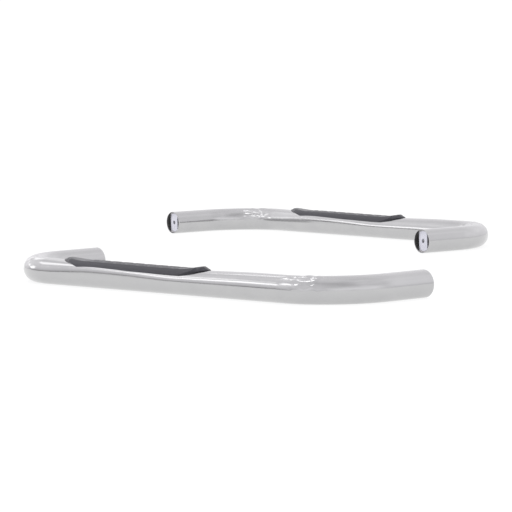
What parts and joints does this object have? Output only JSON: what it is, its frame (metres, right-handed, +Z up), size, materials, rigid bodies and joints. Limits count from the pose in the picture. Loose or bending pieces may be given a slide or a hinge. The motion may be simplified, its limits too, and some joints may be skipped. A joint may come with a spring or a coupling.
{
  "type": "tubular side step set",
  "caption": "Left and right tubular running boards: bent polished tube, moulded step pad on top, threaded end plate set back in each mouth.",
  "frame": {"origin": "middle of the left-hand bar's front threaded hole, where the nut meets the end plate", "axes": "+X along the left-hand run from the front of the vehicle to the rear, +Y out of the left-hand mouths towards the right-hand bar, +Z up; both bars lie flat, with the lowest point of the tubes at z = -38.1 mm"},
  "size_m": [2.5108, 1.9176, 0.0837],
  "materials": {
    "tube": "polished stainless steel",
    "step_pad": "moulded, fine grain",
    "stud": "moulded nylon",
    "end_plate": "satin, mill finish",
    "weld": "as welded",
    "nut": "zinc plated"
  },
  "bodies": {
    "left_bar": {"left_tube": "tube", "left_step_pad": "step_pad", "left_pad_studs": "stud", "left_front_end_plate": "end_plate", "left_rear_end_plate": "end_plate", "left_front_plate_welds": "weld", "left_rear_plate_welds": "weld", "left_front_weld_nut": "nut", "left_rear_weld_nut": "nut"},
    "right_bar": {"right_tube": "tube", "right_step_pad": "step_pad", "right_pad_studs": "stud", "right_front_end_plate": "end_plate", "right_rear_end_plate": "end_plate", "right_front_plate_welds": "weld", "right_rear_plate_welds": "weld", "right_front_weld_nut": "nut", "right_rear_weld_nut": "nut"}
  },
  "joints": [
    {"name": "right_bar_slide", "type": "slide", "parent": "left_bar", "child": "right_bar", "axis": [1, 0, 0], "range_m": [0, 1.025]}
  ]
}
